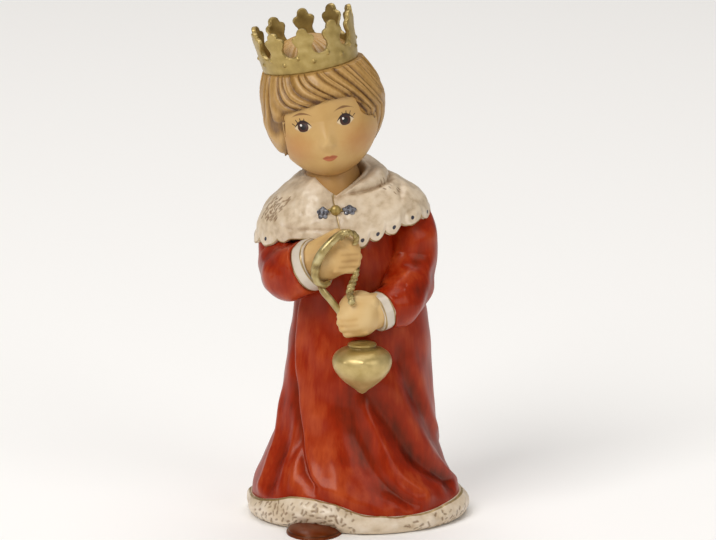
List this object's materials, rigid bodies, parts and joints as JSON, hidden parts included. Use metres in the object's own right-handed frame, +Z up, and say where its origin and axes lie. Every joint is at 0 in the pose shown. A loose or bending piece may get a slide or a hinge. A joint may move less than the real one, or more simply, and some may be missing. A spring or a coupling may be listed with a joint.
{
  "type": "wise man nativity figurine",
  "caption": "Standing boy king in a belled robe with a fur hem and cape, wearing an open crown and holding a small censer on a cord.",
  "frame": {"origin": "centre of the bounding box of the footprint at the level of the flat sole", "axes": "+Z up, the figure faces -Y, its right hand is at -X"},
  "size_m": [0.0608, 0.0614, 0.1399],
  "materials": {
    "painted_ceramic": "gloss"
  },
  "bodies": {
    "root": {"figurine": "painted_ceramic"}
  },
  "joints": []
}
